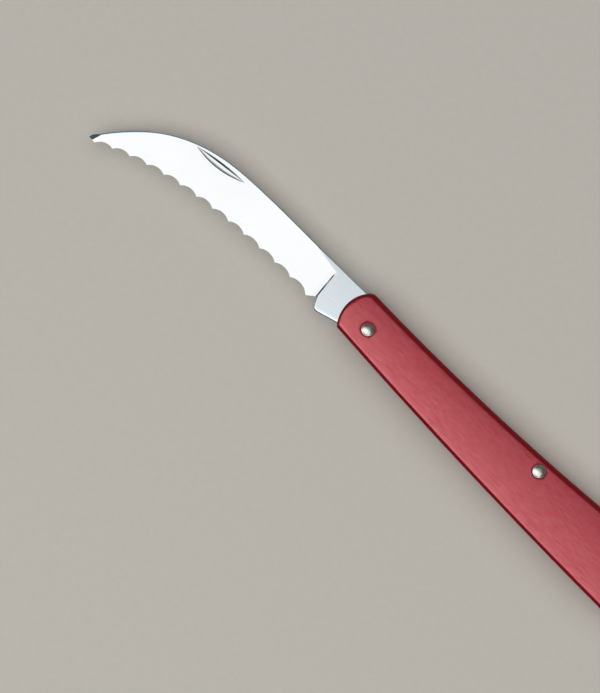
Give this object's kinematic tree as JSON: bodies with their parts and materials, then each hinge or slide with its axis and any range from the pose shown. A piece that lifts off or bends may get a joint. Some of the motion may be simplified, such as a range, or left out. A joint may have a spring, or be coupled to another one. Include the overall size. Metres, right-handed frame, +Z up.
{
  "type": "folding baker's knife",
  "caption": "Slip-joint folding knife with a hooked, scalloped steel blade that folds into a slim red anodised handle.",
  "frame": {"origin": "middle of the open knife's box, on the plane under the lower rivet heads", "axes": "+X from the blade's tip towards the butt, +Y towards the back of the knife, +Z up through the side with the nail nick"},
  "size_m": [0.1526, 0.0226, 0.007],
  "materials": {
    "blade_steel": "mirror polished, satin at the tang",
    "spring_steel": "ground and lightly polished",
    "red_anodised": "red anodised over fine lengthwise brushing",
    "nickel_silver": "polished domed heads"
  },
  "bodies": {
    "handle": {"backspring": "spring_steel", "top_scale": "red_anodised", "bottom_scale": "red_anodised", "pivot_rivet": "nickel_silver", "spring_rivet": "nickel_silver", "end_rivet": "nickel_silver"},
    "blade": {"blade": "blade_steel"}
  },
  "joints": [
    {"name": "blade_fold", "type": "hinge", "parent": "handle", "child": "blade", "pos_m": [-0.00693, 0.00287, 0.00351], "axis": [0, 0, 1], "range_deg": [0, 172], "deforming": ["backspring"]}
  ]
}
